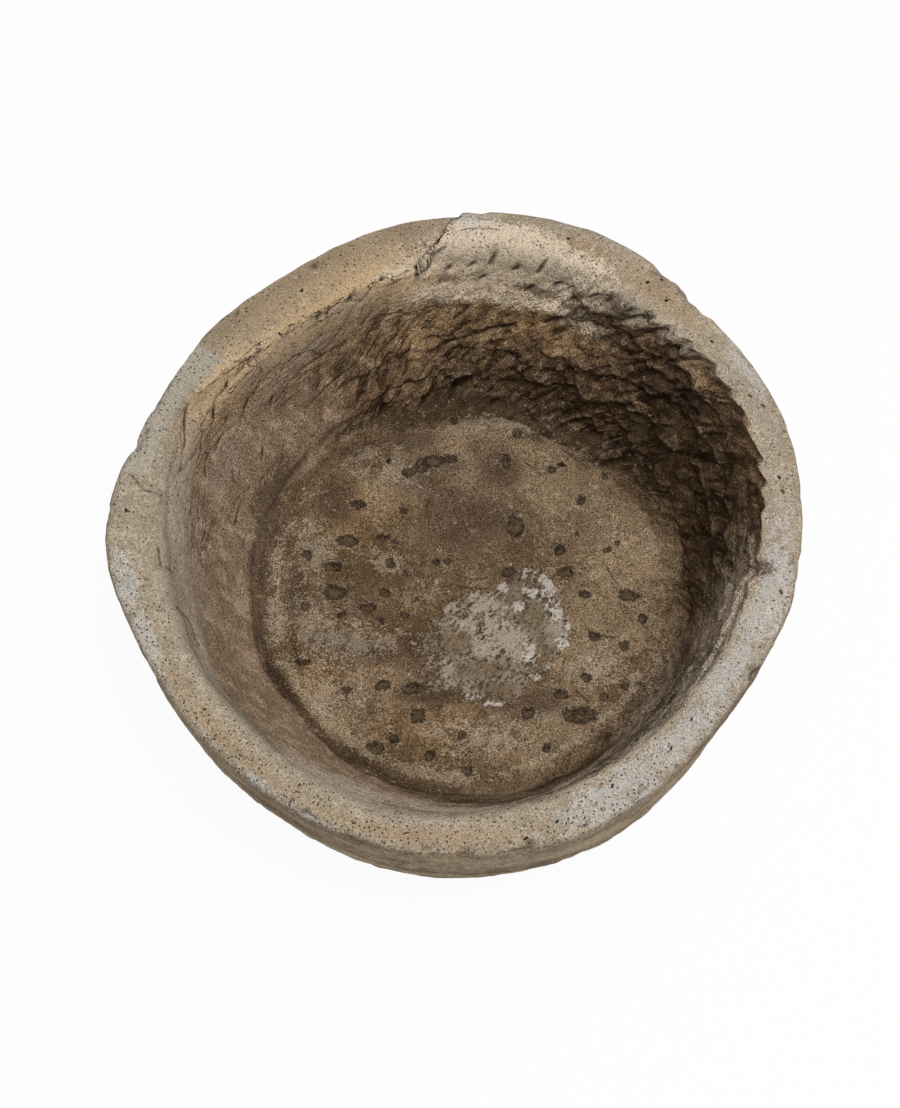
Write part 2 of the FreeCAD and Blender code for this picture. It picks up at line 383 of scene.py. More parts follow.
far_wall = sector(78.0, 34.0, 26.0)
right_wall = sector(30.0, 28.0, 20.0)
near_right = sector(318.0, 22.0, 22.0)
down_wall = ease(path, 3.0, 16.0) * (1 - 0.5 * ease(path, 190.0, 218.0))
down_wall = down_wall * on_wall
lower_half = ease(path, 40.0, 120.0)
patchy = np.clip(0.75 + 0.8 * layered_noise(drum, 70.0, 15), 0.15, 1.6)
large_scars, small_scars = flake_scars(42.0, 24.0, -0.45, 11), flake_scars(17.0, 11.0, -0.7, 31)
furrows = 0.3 - np.abs(layered_noise(on_drum(-1.0, 0.34), 19.0, 51))
fine_furrows = 0.25 - np.abs(layered_noise(on_drum(-0.8, 0.4), 9.0, 61))
relief = down_wall * patchy * (
    (0.4 + 2.2 * far_wall * lower_half + 2.6 * right_wall) * large_scars
    + (0.2 + 0.7 * far_wall * lower_half + 1.0 * right_wall) * small_scars
    + (0.4 + 3.4 * right_wall + 2.0 * near_right + 0.8 * far_wall) * furrows
    + (0.4 + 1.0 * right_wall + 1.2 * near_right) * fine_furrows
)
far_split = far_wall * (0.15 + 0.85 * lower_half)
split_face = down_wall * np.clip(far_split + sector(35.0, 30.0, 30.0), 0, 1)
dressed = down_wall * np.clip(far_split + right_wall + 0.3 * near_right, 0, 1)
print("wall relief from", round(relief.min(), 1), "to", round(relief.max(), 1), "mm")

# %% [markdown]
# ## Marks as fields
# Pits, pecks and cracks are finer than a mesh can cut sharply. So each kind of mark is a field on the
# vertices: 1 in the middle of the mark, 0 at its edge, -1 well outside. The field presses the surface
# in a little, and later the material cuts a sharp ragged edge out of it, finer than the mesh.

# %% Fields of single marks
east, north = plain[..., 0] - AXIS[0], plain[..., 1] - AXIS[1]
upper_side = path > -40.0


def spot(x, y, half_x, half_y, ruffle=0.0):
    """An ellipse on the floor round (x, y); noise moves its edge in and out by ruffle mm."""
    side = (east - x + ruffle * value_noise(plain, 4.5, 71)) / half_x
    ahead = (north - y + ruffle * value_noise(plain, 4.5, 73)) / half_y
    return np.where(on_floor, np.maximum(1 - np.hypot(side, ahead), -1), -1)


def patch(angle, along, half_arc, half_along):
    """An ellipse on the rim or wall: its angle, its place on the path and its half sizes in mm."""
    return np.maximum(1 - np.hypot(arc_from(angle) / half_arc, (path - along) / half_along), -1)


def gouge(angle, along, half_length, half_width):
    """A stroke on the wall, turned by 45 degrees: as the angle grows it goes down."""
    sideways, down = arc_from(angle), path - along
    length, width = (sideways + down) / half_length, (sideways - down) / half_width
    return np.maximum(1 - np.hypot(length, width) / math.sqrt(2), -1)


def line(points, half_width, across, along):
    """A line through points of two coordinates in mm, given for every vertex."""
    nearest = np.full(along.shape, np.inf)
    for (x0, y0), (x1, y1) in zip(points, points[1:]):
        length = math.hypot(x1 - x0, y1 - y0)
        share = np.clip(((across - x0) * (x1 - x0) + (along - y0) * (y1 - y0)) / length ** 2, 0, 1)
        gap = np.hypot(across - x0 - share * (x1 - x0), along - y0 - share * (y1 - y0))
        nearest = np.minimum(nearest, gap)
    return np.maximum(1 - nearest / half_width, -1)


CRACK_ABOVE_WIDTH = 4.5


def crack_above(*points):
    """A crack through (x, y) points seen from above, on the upper side of the stone."""
    return np.where(upper_side, line(points, CRACK_ABOVE_WIDTH, east, north), -1)


def crack_on_wall(*points, half_width=4.0):
    """A crack through points given by their angle and their place on the path down the wall."""
    unrolled = [(math.radians(angle - 90.0) * MOUTH_RADIUS, along) for angle, along in points]
    return line(unrolled, half_width, arc_from(90.0), path + 0 * theta)


def crevice_on_wall(*points):
    """A wider crack, open under a flake of stone."""
    return crack_on_wall(*points, half_width=6.0)


def together(make, rows):
    """The largest of the fields that one kind of mark gives for each row of its table."""
    return np.max([make(*row) for row in rows], axis=0)


print("upper side has", int(upper_side.sum()), "rings")

# %% [markdown]
# ## Pits, pecks and cracks
# Pebbles fell out of the floor and left pits. A row of pecks follows the broken length of the rim,
# where the mason began to split the slab off, and more lie under the far rim. Cracks are drawn point
# by point, and two wider crevices stand open under flakes of the far wall.

# %% Pits and pecks
FLOOR_PITS = [
    (1, 190, 5, 5), (66, 174, 5, 5), (54, 142, 6, 10), (101, 133, 6, 5), (112, 139, 4, 4),
    (158, 128, 5, 5), (132, 98, 5, 6), (63, 68, 9, 14), (108, 42, 6, 6), (126, 60, 3, 3),
    (156, 43, 4, 4), (168, 49, 3, 3), (113, 18, 9, 6), (133, -6, 5, 5), (178, -7, 12, 6),
    (190, -33, 5, 6), (141, -49, 7, 5), (170, -60, 6, 6), (132, -94, 6, 5), (169, -104, 5, 5),
    (148, -115, 4, 5), (107, -112, 8, 5), (124, -133, 17, 9), (91, -165, 5, 5), (12, -188, 6, 5),
    (7, -153, 5, 4), (72, -130, 8, 6), (56, 18, 9, 6), (-98, 93, 8, 5), (-109, 52, 14, 6),
    (-72, 57, 9, 4), (-151, 37, 6, 5), (-124, 24, 10, 6), (-121, -3, 12, 8), (-150, -19, 5, 5),
    (-88, -20, 9, 5), (-65, 29, 5, 5), (-18, 30, 4, 4), (-7, 31, 4, 4), (-50, 18, 3, 4),
    (-70, -4, 5, 5), (-38, -13, 4, 3), (-113, -27, 5, 4), (-73, -34, 5, 4), (-50, -29, 4, 3),
    (-106, -107, 5, 4), (-71, -103, 8, 5), (-39, -106, 13, 6), (-14, -104, 8, 4), (-36, -133, 8, 9),
    (-59, -157, 6, 5), (-77, -168, 8, 8), (-23, -174, 5, 5), (-151, -78, 9, 4), (-53, 87, 5, 4),
    (-69, 142, 3, 3), (43, -107, 6, 5), (-34, 137, 9, 7), (-20, 143, 12, 7), (-4, 145, 9, 5),
    (-46, 130, 8, 5),
]
PECKS = [
    (107, 9, 10, 4), (114, 13, 14, 4), (119, 26, 12, 4), (123, 30, 12, 4), (130, 22, 12, 4),
    (139, 16, 11, 4), (148, 23, 12, 4), (154, 36, 13, 4), (109, 22, 10, 4), (115, 28, 10, 4),
    (147, 66, 10, 4), (141, 92, 12, 4), (164, 70, 12, 3), (160, 118, 14, 3), (150, 134, 16, 4),
    (182, 84, 14, 3), (200, 90, 12, 3), (129, 120, 13, 4), (355, 55, 8, 5), (348, 47, 8, 5),
    (344, 79, 7, 6), (347, 111, 8, 5), (350, 152, 9, 5), (357, 134, 8, 5), (354, 113, 7, 5),
    (5, 80, 9, 5), (338, 103, 8, 5), (334, 114, 8, 4), (101, 18, 13, 4), (97, 20, 12, 5),
    (93, 24, 16, 5), (88, 17, 15, 4), (84, 12, 15, 4), (79, 16, 13, 5), (74, 12, 14, 4),
    (70, 22, 14, 5), (66, 30, 13, 4), (62, 16, 12, 4), (58, 12, 13, 4), (53, 10, 11, 4),
    (86, 36, 14, 4), (76, 40, 14, 4), (95, 42, 12, 4), (37, 12, 11, 5), (45, 14, 11, 4),
]
PIT_RUFFLE = 3.0
pit = together(spot, [row + (PIT_RUFFLE,) for row in FLOOR_PITS])
peck = together(gouge, PECKS)
print("pits", len(FLOOR_PITS), "pecks", len(PECKS))

# %% Cracks
CRACKS = [
    [(-296, 37), (-284, 22), (-262, 18)], [(-132, -254), (-140, -271)],
    [(-104, 150), (-90, 165), (-75, 158)], [(1, 16), (18, 10), (34, 12)], [(3, 3), (20, 0), (36, 0)],
    [(74, 142), (90, 128)], [(152, 140), (176, 130)], [(141, -49), (163, -52)], [(-25, 98), (-31, 84)],
    [(120, -107), (134, -120)], [(152, 31), (163, 9)], [(-160, -60), (-150, -92)],
]
WALL_CRACKS = [
    [(106, 11), (113, 14), (118, 26), (122, 31), (126, 23), (129, 24)],
    [(134, 7), (138, 16), (143, 21), (148, 24), (152, 25), (154, 35)],
    [(108, 23), (113, 38), (115, 28)], [(115, 110), (119, 118), (123, 124), (130, 133), (135, 138)],
    [(135, 61), (140, 51), (145, 60), (150, 77)], [(103, 142), (110, 135), (116, 111)],
    [(136, 91), (141, 97)], [(147, 69), (142, 58), (138, 54)], [(132, 82), (123, 83), (119, 87)],
    [(144, 49), (140, 46), (140, 23)], [(101, 17), (97, 13), (93, 6)], [(90, -4), (86, -6), (83, -4)],
    [(60, 21), (55, 20), (50, 16)], [(169, 148), (160, 146), (156, 154), (150, 162)],
    [(169, 25), (163, 22), (157, 8)], [(162, 64), (154, 68), (152, 72)],
    [(179, 81), (179, 99), (181, 86)], [(187, 5), (191, 5), (190, 24)],
    [(199, 11), (201, 25), (206, 29)], [(69, 50), (66, 27)], [(59, 35), (54, 45), (45, 58)],
    [(171, 20), (167, 31), (161, 46), (159, 38)], [(169, 138), (164, 137), (158, 146)],
]
CREVICES = [
    [(72, 81), (66, 59), (61, 56), (54, 45), (50, 52)], [(99, 138), (93, 124), (87, 114), (79, 98)],
]
crevice_line = together(crevice_on_wall, CREVICES)
crack = np.maximum(together(crack_above, CRACKS), together(crack_on_wall, WALL_CRACKS))
crack = np.maximum(crack, crevice_line)
print("cracks", len(CRACKS + WALL_CRACKS + CREVICES))

# %% [markdown]
# ## Unevenness of the whole block
# No face of the block is flat. It undulates and is rough everywhere, the corner of the floor heaves, the
# left of the lip is rubbed into a bevel, the outer wall keeps faint tooling and its upper edge has lost
# chips. All of these are heights in mm on the one surface, and the marks are pressed in last.

# %% Unevenness
UNDULATION, ROUGHNESS = 1.1, 0.6
CORNER_HEAVE, OUTER_TOOLING, EDGE_CHIP = 4.8, 1.8, 4.0
BEVEL_MIDDLE, BEVEL_REACH = 7.0, 15.0
EDGE_MIDDLE = -33.0

above_base = (~np.isin(course_of, ["base", "base_edge"]))[:, None]
undulation, roughness = layered_noise(plain, 46.0, 31), layered_noise(plain, 15.0, 41)
relief = relief + above_base * (UNDULATION * undulation + ROUGHNESS * roughness)
at_corner = ease(path, 165.0, 200.0) * (1 - ease(path, 222.0, 250.0))
relief = relief + CORNER_HEAVE * at_corner * layered_noise(plain, 38.0, 83)
bevel = 8.0 * sector(128.0, 26.0, 18.0) + 5.0 * sector(188.0, 24.0, 18.0)
relief = relief - bevel * np.exp(-((path - BEVEL_MIDDLE) / BEVEL_REACH) ** 2)
outer_wall = (1 - ease(path, -60.0, -40.0)) * above_base
relief = relief + OUTER_TOOLING * outer_wall * (0.3 - np.abs(layered_noise(plain, 28.0, 95)))
outer_edge = ease(-np.abs(path - EDGE_MIDDLE), -16.0, -4.0)
relief = relief - EDGE_CHIP * (outer_edge * ease(layered_noise(plain, 26.0, 91), 0.25, 0.9))
# Each mark with its depth in mm and how steeply it falls from its edge
sunk_marks = ((pit, 5.0, 1.6), (peck, 3.0, 1.0), (crack, 1.6, 1.0), (crevice_line, 2.4, 1.0))
for mark, sink, steepness in sunk_marks:
    relief = relief - sink * np.clip(steepness * mark, 0, 1)
print("relief of wall, block and marks from", round(relief.min(), 1), "to", round(relief.max(), 1), "mm")

# %% [markdown]
# ## Pushing the relief out along the normals
# The relief is a height in mm. Each vertex moves along its own normal, the cross product of the
# surface's two directions. Under the lime crust the floor stays flat, so that the crust can lie on it.

# %% Displace
HIGHEST = HEIGHT + 1.5
RELIEF_SHADING_DEPTH, RELIEF_SHADING_BLURS = 2.0, 8
CRUST_EDGE = np.array([
    (0.30, 0.14), (0.43, 0.08), (0.45, -0.03), (0.53, -0.19), (0.52, -0.31), (0.43, -0.45), (0.31, -0.56),
    (0.09, -0.66), (-0.06, -0.62), (-0.26, -0.52), (-0.28, -0.33), (-0.23, -0.18), (-0.06, -0.05),
    (0.13, 0.0), (0.22, 0.08),
]) * FLAT_RADIUS + np.array([FLOOR_SHIFT, 0.0])
CRUST_MIDDLE = CRUST_EDGE.mean(axis=0)
crust_angles = np.arctan2(*(CRUST_EDGE - CRUST_MIDDLE).T[::-1])
crust_reach = np.hypot(*(CRUST_EDGE - CRUST_MIDDLE).T)


def crust_radius(angle):
    """Distance from the crust's middle to its edge in a direction, straight between the edge's points."""
    return np.interp(angle, crust_angles, crust_reach, period=2 * math.pi)


from_crust = np.hypot(east - CRUST_MIDDLE[0], north - CRUST_MIDDLE[1])
crust_turn = np.arctan2(north - CRUST_MIDDLE[1], east - CRUST_MIDDLE[0])
beyond_crust = from_crust - crust_radius(crust_turn)
relief = relief * np.where(on_floor, ease(beyond_crust, -4.0, 8.0), 1.0)

around = np.roll(plain, -1, axis=1) - np.roll(plain, 1, axis=1)
normal = np.cross(around, np.gradient(plain, axis=0))
normal /= np.maximum(np.linalg.norm(normal, axis=-1, keepdims=True), 1e-9)
surface = plain + relief[..., None] * normal
surface[..., 2] = np.clip(surface[..., 2], 0.0, HIGHEST)


def blurred(values, times):
    """Each value replaced, times over, by the mean of itself and its neighbours round and along."""
    for _ in range(times):
        padded = np.concatenate([values[:1], values, values[-1:]])
        sides = np.roll(values, 1, axis=1) + np.roll(values, -1, axis=1)
        values = (2 * values + sides + padded[:-2] + padded[2:]) / 6
    return values


# How far each point lies below its blurred surroundings; the stone material paints shade in hollows and a
# highlight on crests from it.
raised = relief + ledge
hollow = np.clip((blurred(raised, RELIEF_SHADING_BLURS) - raised) / RELIEF_SHADING_DEPTH, -1, 1)
print("relief from", round(relief.min(), 1), "to", round(relief.max(), 1), "mm")

# %% [markdown]
# ## Holes and pebbles of the rim
# The small black holes of the rim are finer than the mesh. For each, the nearest vertex moves to the
# hole's place, sinks a little and alone carries the mark. The reddish pebbles are made the same way.

# %% Holes and pebbles
RIM_HOLES = [
    (-217, -187), (-86, -287), (135, -255), (186, -222), (204, -197), (-183, -229), (-182, -242),
    (59, -300), (-298, 1), (200, 242), (186, 238), (111, 287), (203, 218), (243, 174), (297, 33),
    (87, -286), (-147, 237),
]
RIM_PEBBLES = [(-42, -296), (291, -79), (276, 116), (286, 105), (298, 19)]
HOLE_SINK, PEBBLE_SINK = 3.0, 1.0
on_rim = np.isin(course_of, ["rim", "lip"])
first_rim_ring = np.argmax(on_rim)
rim_places = surface[on_rim][..., :2].reshape(-1, 2)


def nearest_vertices(places):
    """Row and column of the rim vertex nearest to each place, from the whole table of distances."""
    gaps = np.linalg.norm(rim_places[None] - (np.array(places, float) + AXIS)[:, None], axis=-1)
    rows, columns = np.unravel_index(gaps.argmin(axis=1), (on_rim.sum(), COLUMNS))
    return rows + first_rim_ring, columns


hole, pebble = np.zeros(east.shape), np.zeros(east.shape)
for places, mark, sunk in ((RIM_HOLES, hole, HOLE_SINK), (RIM_PEBBLES, pebble, PEBBLE_SINK)):
    rows, columns = nearest_vertices(places)
    surface[rows, columns, :2] = np.array(places, float) + AXIS
    surface[rows, columns, 2] -= sunk
    mark[rows, columns] = 1.0
print("holes", len(RIM_HOLES), "pebbles", len(RIM_PEBBLES))

# %% [markdown]
# ## Stains as fields
# Weather, damp, soil and lime colour the stone in patches. Each kind of stain is one field, the largest
# of its patches on the rim and wall and of its spots on the floor.

# %% Stains of the rim and wall
WALL_PATCHES = {
    "ochre": [
        (120, -14, 120, 26), (118, 44, 105, 44), (225, -16, 80, 9), (262, -18, 90, 9), (66, -14, 26, 9),
        (50, -14, 50, 9), (150, 30, 60, 30), (98, 96, 60, 26), (140, 70, 70, 22), (78, 84, 90, 26),
    ],
    "lavender": [
        (130, 66, 62, 9), (140, 78, 36, 8), (160, 92, 40, 20), (186, 60, 60, 26), (118, 34, 40, 5),
        (128, 26, 30, 5), (315, -16, 130, 16), (352, -14, 60, 14), (22, -16, 50, 10),
    ],
    "soot": [
        (200, 18, 60, 10), (222, 20, 60, 11), (244, 18, 70, 9), (264, 13, 60, 8), (280, 10, 50, 6),
        (312, 14, 90, 10),
    ],
    "bloom": [
        (193, -24, 22, 9), (204, -24, 26, 8), (350, -10, 20, 8), (88, -20, 14, 10), (26, -24, 26, 7),
        (33, -34, 16, 6), (237, -34, 16, 5), (246, -36, 18, 5), (297, -28, 26, 9), (302, -34, 16, 6),
        (315, -16, 110, 14), (330, -12, 60, 12), (298, -14, 50, 10), (345, -16, 50, 14),
    ],
    "pale": [
        (82, -4, 60, 13), (76, 16, 66, 10), (78, 38, 60, 8), (90, 28, 40, 8), (66, 50, 34, 7),
        (100, 12, 34, 9), (72, 12, 60, 20), (90, 12, 50, 22), (80, 34, 50, 20), (74, 56, 60, 8),
        (92, 46, 40, 8), (84, 62, 60, 10), (64, 62, 40, 10), (97, 58, 30, 10),
    ],
    "tan": [
        (110, 16, 70, 26), (128, 20, 70, 24), (146, 16, 50, 22), (98, 40, 50, 26), (80, 44, 60, 26),
    ],
    "fleck": [(100, -26, 30, 9), (118, -28, 50, 10), (138, -26, 50, 10), (150, -22, 24, 8)],
    "cracked": [
        (105, 20, 40, 16), (122, 26, 60, 18), (142, 30, 50, 20), (158, 50, 50, 34), (176, 80, 60, 50),
        (132, 84, 90, 50), (104, 76, 70, 40), (320, 60, 120, 60),
    ],
    "groove": [
        (330, 90, 110, 70), (308, 50, 100, 40), (350, 100, 70, 80), (282, 50, 90, 40),
        (262, 60, 80, 50),
    ],
    # Pale dust, partly painted light: these patches lighten the near walls, which lie in shade.
    "dust_and_light": [(330, 80, 110, 100), (310, 60, 120, 70), (284, 60, 110, 70), (260, 60, 110, 70)],
    "scuff": [
        (216, 224, 60, 6), (234, 226, 60, 6), (262, 226, 80, 6), (190, 228, 50, 6), (290, 226, 70, 6),
        (318, 226, 60, 6),
    ],
    "damp": [
        (216, 209, 80, 9), (236, 206, 80, 12), (256, 196, 90, 22), (266, 166, 50, 14),
        (278, 134, 50, 14), (290, 88, 50, 12), (299, 78, 50, 12), (311, 112, 60, 14),
        (330, 148, 60, 14), (343, 176, 60, 12), (2, 184, 90, 18), (85, 208, 190, 26),
        (70, 176, 170, 26), (28, 150, 150, 50), (44, 190, 120, 30), (60, 142, 80, 16),
        (290, 172, 50, 10), (302, 170, 50, 10), (30, 86, 110, 44), (8, 100, 60, 50),
    ],
    "porous": [(232, -20, 120, 18), (262, -22, 100, 18), (160, -30, 60, 12), (290, -20, 60, 14)],
    "chalk": [(170, 224, 40, 7), (190, 220, 40, 7)],
    "soil": [
        (176, 198, 60, 18), (192, 200, 60, 14), (163, 196, 50, 18), (154, 180, 50, 22),
        (206, 206, 50, 12), (94, 34, 18, 6), (75, 40, 20, 6), (64, 44, 18, 6), (348, 6, 9, 14),
        (350, 38, 14, 12),
    ],
}
GROOVE_DEPTH = 0.45
DUST_AND_LIGHT_START, DUST_AND_LIGHT_FADE = 10.0, 8.0
stains = {label: together(patch, rows) for label, rows in WALL_PATCHES.items()}
stains["groove"] -= GROOVE_DEPTH
stains["dust_and_light"] = np.minimum(stains["dust_and_light"], (path - DUST_AND_LIGHT_START) / DUST_AND_LIGHT_FADE)
print("stains of rim and wall", ", ".join(WALL_PATCHES))

# %% Stains of the floor
FLOOR_SPOTS = {
    "ochre": [(-87, 98, 40, 30), (-142, -107, 30, 24), (-24, -150, 46, 24), (-110, 60, 26, 20)],
    "chalk": [
        (23, -156, 34, 12), (-104, -55, 40, 18), (-103, 150, 30, 12), (-64, 28, 16, 12),
        (-12, -150, 18, 10), (146, -84, 24, 16), (-142, 40, 16, 26), (-130, -118, 26, 20),
        (60, 186, 40, 10), (-60, 130, 30, 14), (-150, -40, 12, 30), (-88, 148, 16, 10),
    ],
    "soil": [
        (-24, 136, 34, 14), (-9, 100, 26, 15), (-74, -68, 28, 12), (-46, 167, 26, 12), (17, 76, 44, 34),
        (-124, -55, 24, 12), (48, 132, 22, 20), (90, -118, 22, 12), (-156, -1, 12, 34),
        (-20, -112, 34, 7), (-100, -62, 40, 6), (-34, 120, 34, 12), (52, -118, 26, 10),
        (-120, 100, 20, 24), (-30, -60, 30, 16),
    ],
    "sand": [
        (28, 180, 50, 18), (111, 160, 36, 22), (160, 64, 60, 54), (140, -34, 60, 46),
        (103, -150, 40, 24), (120, 110, 50, 40), (-60, 110, 30, 24),
    ],
}
FAINT = {"ochre": 0.2}
for label, rows in FLOOR_SPOTS.items():
    stains[label] = np.maximum(stains.get(label, -1.0), together(spot, rows) - FAINT.get(label, 0.0))
print("stains of the floor", ", ".join(FLOOR_SPOTS))

# %% [markdown]
# ## Zones of the stone
# The ground colours change at the outer edge, at the lip and in the corner of the floor. The lip's
# border lies lower where the lip is worn, and the floor's brown climbs the near wall. At the upper left
# a patch of the rim was ground smooth, with straight ends.

# %% Zones
FOOT_RISE = [(245, 252, 265, 277, 289, 298, 311, 330, 343, 353), (0, 6, 40, 70, 100, 105, 80, 40, 10, 0)]
LIP_START, LIP_WIDENING = 2.0, 1.3
GROUND_ANGLE, GROUND_HALF_TURN, GROUND_INNER = 158.8, 14.2, 268.0

lip_end = LIP_WIDENING * np.clip(wear, 0, None)
lip_end = lip_end + 24.0 * sector(116.0, 22.0, 20.0) + 22.0 * sector(182.0, 18.0, 16.0)
lip_fade = 12.0 + 34.0 * sector(90.0, 46.0, 26.0) + 10.0 * sector(170.0, 40.0, 30.0)
patch_edge = GROUND_INNER + 0.3 * (degrees - 147.0)
patch_ends = (GROUND_HALF_TURN - np.abs(turn_from(GROUND_ANGLE))) / 3.0
ground_patch = np.minimum((np.hypot(east, north) - patch_edge) / 10.0, patch_ends)
ground_patch = np.where(upper_side & ~on_wall, np.clip(ground_patch, -1, 1), -1)
fields = {
    "pit": pit, "peck": peck, "crack": crack, "hole": hole, "pebble": pebble, "hollow": hollow, **stains,
    "ground_patch": ground_patch, "split_face": split_face, "dressed": dressed,
    "inside": ease((path - lip_end - LIP_START) / lip_fade, 0.0, 1.0),
    "flat": ease(path + np.interp(degrees, *FOOT_RISE), 186.0, 222.0),
    "outside": np.repeat(1 - ease(path, -40.0, -30.0), COLUMNS, axis=1),
}
print("fields", ", ".join(fields))

# %% [markdown]
# ## From grid to mesh
# The grid closes on itself round the trough. A single vertex closes it under the base and another in
# the middle of the floor. One function serves the trough and the crust.

# %% Mesh builder


def grid_mesh(name, grid, first_pole, last_pole, attributes):
    """A closed mesh: quads between neighbouring rings and columns, a fan of triangles at each pole."""
    rings, columns = grid.shape[:2]
    vertices = np.concatenate([[first_pole], grid.reshape(-1, 3), [last_pole]]) * MM
    index = 1 + np.arange(rings * columns).reshape(rings, columns)
    after = np.roll(index, -1, axis=1)
    quads = np.stack([index[:-1], after[:-1], after[1:], index[1:]], axis=-1).reshape(-1, 4)
    first = np.stack([0 * index[0], after[0], index[0]], axis=-1)
    last = np.stack([index[-1], after[-1], 0 * index[-1] + len(vertices) - 1], axis=-1)
    fans = np.concatenate([first, last])
    corners = np.concatenate([quads.ravel(), fans.ravel()])
    starts = np.concatenate([4 * np.arange(len(quads)), quads.size + 3 * np.arange(len(fans))])

    mesh = bpy.data.meshes.new(name)
    mesh.vertices.add(len(vertices))
    mesh.vertices.foreach_set("co", vertices.ravel())
    mesh.loops.add(len(corners))
    mesh.loops.foreach_set("vertex_index", corners)
    mesh.polygons.add(len(starts))
    mesh.polygons.foreach_set("loop_start", starts)
    mesh.polygons.foreach_set("use_smooth", np.ones(len(starts), bool))
    mesh.update(calc_edges=True)
    mesh.validate()
    for label, values in attributes.items():
        is_place = values.ndim == 3
        layer = mesh.attributes.new(label, "FLOAT_VECTOR" if is_place else "FLOAT", "POINT")
        body = values.reshape(rings * columns, *values.shape[2:])
        padded = np.concatenate([values[:1, 0], body, values[-1:, 0]])
        layer.data.foreach_set("vector" if is_place else "value", padded.astype(np.float32).ravel())
    piece = bpy.data.objects.new(name, mesh)
    bpy.context.collection.objects.link(piece)
    print(name, len(vertices), "vertices", 2 * len(quads) + len(fans), "triangles")
    return piece


RING_STRETCH = np.array([0.18, 0.18, 1.0])
strokes, flakes, bands = on_drum(-1.0, 0.22) * MM, on_drum(-0.7, 0.6) * MM, drum * RING_STRETCH * MM
trough = grid_mesh(
    "stone_trough", surface,
    (AXIS[0], AXIS[1], 0.0), (*surface[-1].mean(axis=0)[:2], surface[-1, :, 2].mean()),
    {**fields, "strokes": strokes, "flakes": flakes, "bands": bands},
)

# %% [markdown]
# ## The lime crust
# Hard water left a crust of lime on the floor, thin and patchy, with a ragged edge. It is a separate
# piece with its own closed surface: a flat underside and a top that thins out towards the edge.

# %% Crust
CRUST_COLUMNS, CRUST_RINGS = 360, 60
CRUST_FEATHER, CRUST_BED = 7.0, 0.2
edge_turn = np.arange(CRUST_COLUMNS) / CRUST_COLUMNS * 2 * math.pi
crust_share = np.linspace(0.02, 1.0, CRUST_RINGS)[:, None]
edge_line = crust_radius(edge_turn)
edge_place = np.stack([edge_line * np.cos(edge_turn), edge_line * np.sin(edge_turn), 0 * edge_line], -1)
edge_line = edge_line * (0.94 + 0.08 * layered_noise(edge_place, 14.0, 51))
crust_x = CRUST_MIDDLE[0] + AXIS[0] + crust_share * edge_line * np.cos(edge_turn)
crust_y = CRUST_MIDDLE[1] + AXIS[1] + crust_share * edge_line * np.sin(edge_turn)
crust_place = np.stack([crust_x, crust_y, 0 * crust_x], -1)
to_edge = edge_line * (1 - crust_share)
thickness = (crust_high[2] - crust_low[2]) * ease(to_edge, -2.0, CRUST_FEATHER)
thickness = thickness * np.clip(0.45 + 0.5 * layered_noise(crust_place, 9.0, 61), 0.08, 1.0)
thickness[-1] = 0.0
top = np.stack([crust_x, crust_y, FLOOR_LEVEL + thickness], -1)
under = np.stack([crust_x, crust_y, 0 * crust_x + FLOOR_LEVEL - CRUST_BED], -1)[::-1]
crust_grid = np.concatenate([top, under])[::-1]
print("crust up to", round(thickness.max(), 2), "mm thick")

# %% [markdown]
# The crust is palest in streaks, white where it curls up, and worn through to the stone in places. These
# are fields as on the stone. The underside gets the same values, though nothing shows them.

# %% Fields of the crust, and its mesh
PALEST = [
    (32, -20, 18, 12), (25, -68, 14, 14), (37, -45, 14, 14), (51, -57, 28, 14), (-7, -19, 14, 6),
    (-4, -87, 11, 6), (66, -70, 16, 10), (14, -44, 14, 8), (100, -50, 10, 24),
]
WHITEST = [
    (93, 2, 8, 17), (73, 19, 7, 7), (77, -6, 9, 5), (103, -29, 9, 8), (116, -44, 5, 11), (110, -61, 8, 7),
    (75, -74, 7, 10), (102, -86, 7, 6), (83, -98, 7, 7), (33, -127, 11, 5), (18, -121, 9, 6),
    (48, 1, 5, 11), (64, -22, 8, 5),
]
BARE = [
    (58, -7, 13, 15), (81, -35, 16, 16), (90, -68, 13, 19), (22, -87, 26, 9), (86, 6, 5, 9),
    (44, -110, 17, 9), (0, -60, 16, 14),
]


def on_crust(x, y, half_x, half_y):
    """An ellipse on the crust round (x, y): 1 in its middle, 0 at its edge, -1 well outside."""
    return np.maximum(1 - np.hypot((crust_x - x) / half_x, (crust_y - y) / half_y), -1)


crust_fields = {
    "inner": 0.4 * np.clip(to_edge / 18.0 - 0.4, -1, 1) - 0.2,
    "palest": together(on_crust, PALEST) - 0.1,
    "bare": together(on_crust, BARE),
    "white": together(on_crust, WHITEST) - 0.15,
}
middle = CRUST_MIDDLE + AXIS
crust = grid_mesh(
    "lime_patch", crust_grid,
    (*middle, FLOOR_LEVEL - CRUST_BED), (*middle, FLOOR_LEVEL + thickness[0].mean()),
    {label: np.concatenate([values, values[::-1]])[::-1] for label, values in crust_fields.items()},
)

# %% [markdown]
# ## Materials
# Every colour is an sRGB hex value, turned to the linear values that the renderer works in. One small
# function adds any node: its settings, the values or links of its sockets, and the output wanted.

# %% Node helper


def linear(hex_value):
    """sRGB hex to linear RGBA: a short straight part near black, then a power of 2.4."""
    channels = np.array([int(hex_value[k:k + 2], 16) for k in (0, 2, 4)]) / 255
    return (*np.where(channels <= 0.04045, channels / 12.92, ((channels + 0.055) / 1.055) ** 2.4), 1.0)


def add(tree, kind, sockets=(), out=0, **settings):
    """Adds a node, sets it up, sets or links each socket by name or number, and returns one output."""
    node = tree.nodes.new(kind)
    for key, value in settings.items():
        setattr(node, key, value)
    for key, value in dict(sockets).items():
        if isinstance(value, bpy.types.NodeSocket):
            tree.links.new(value, node.inputs[key])
        else:
            node.inputs[key].default_value = value
    return node.outputs[out] if len(node.outputs) else None


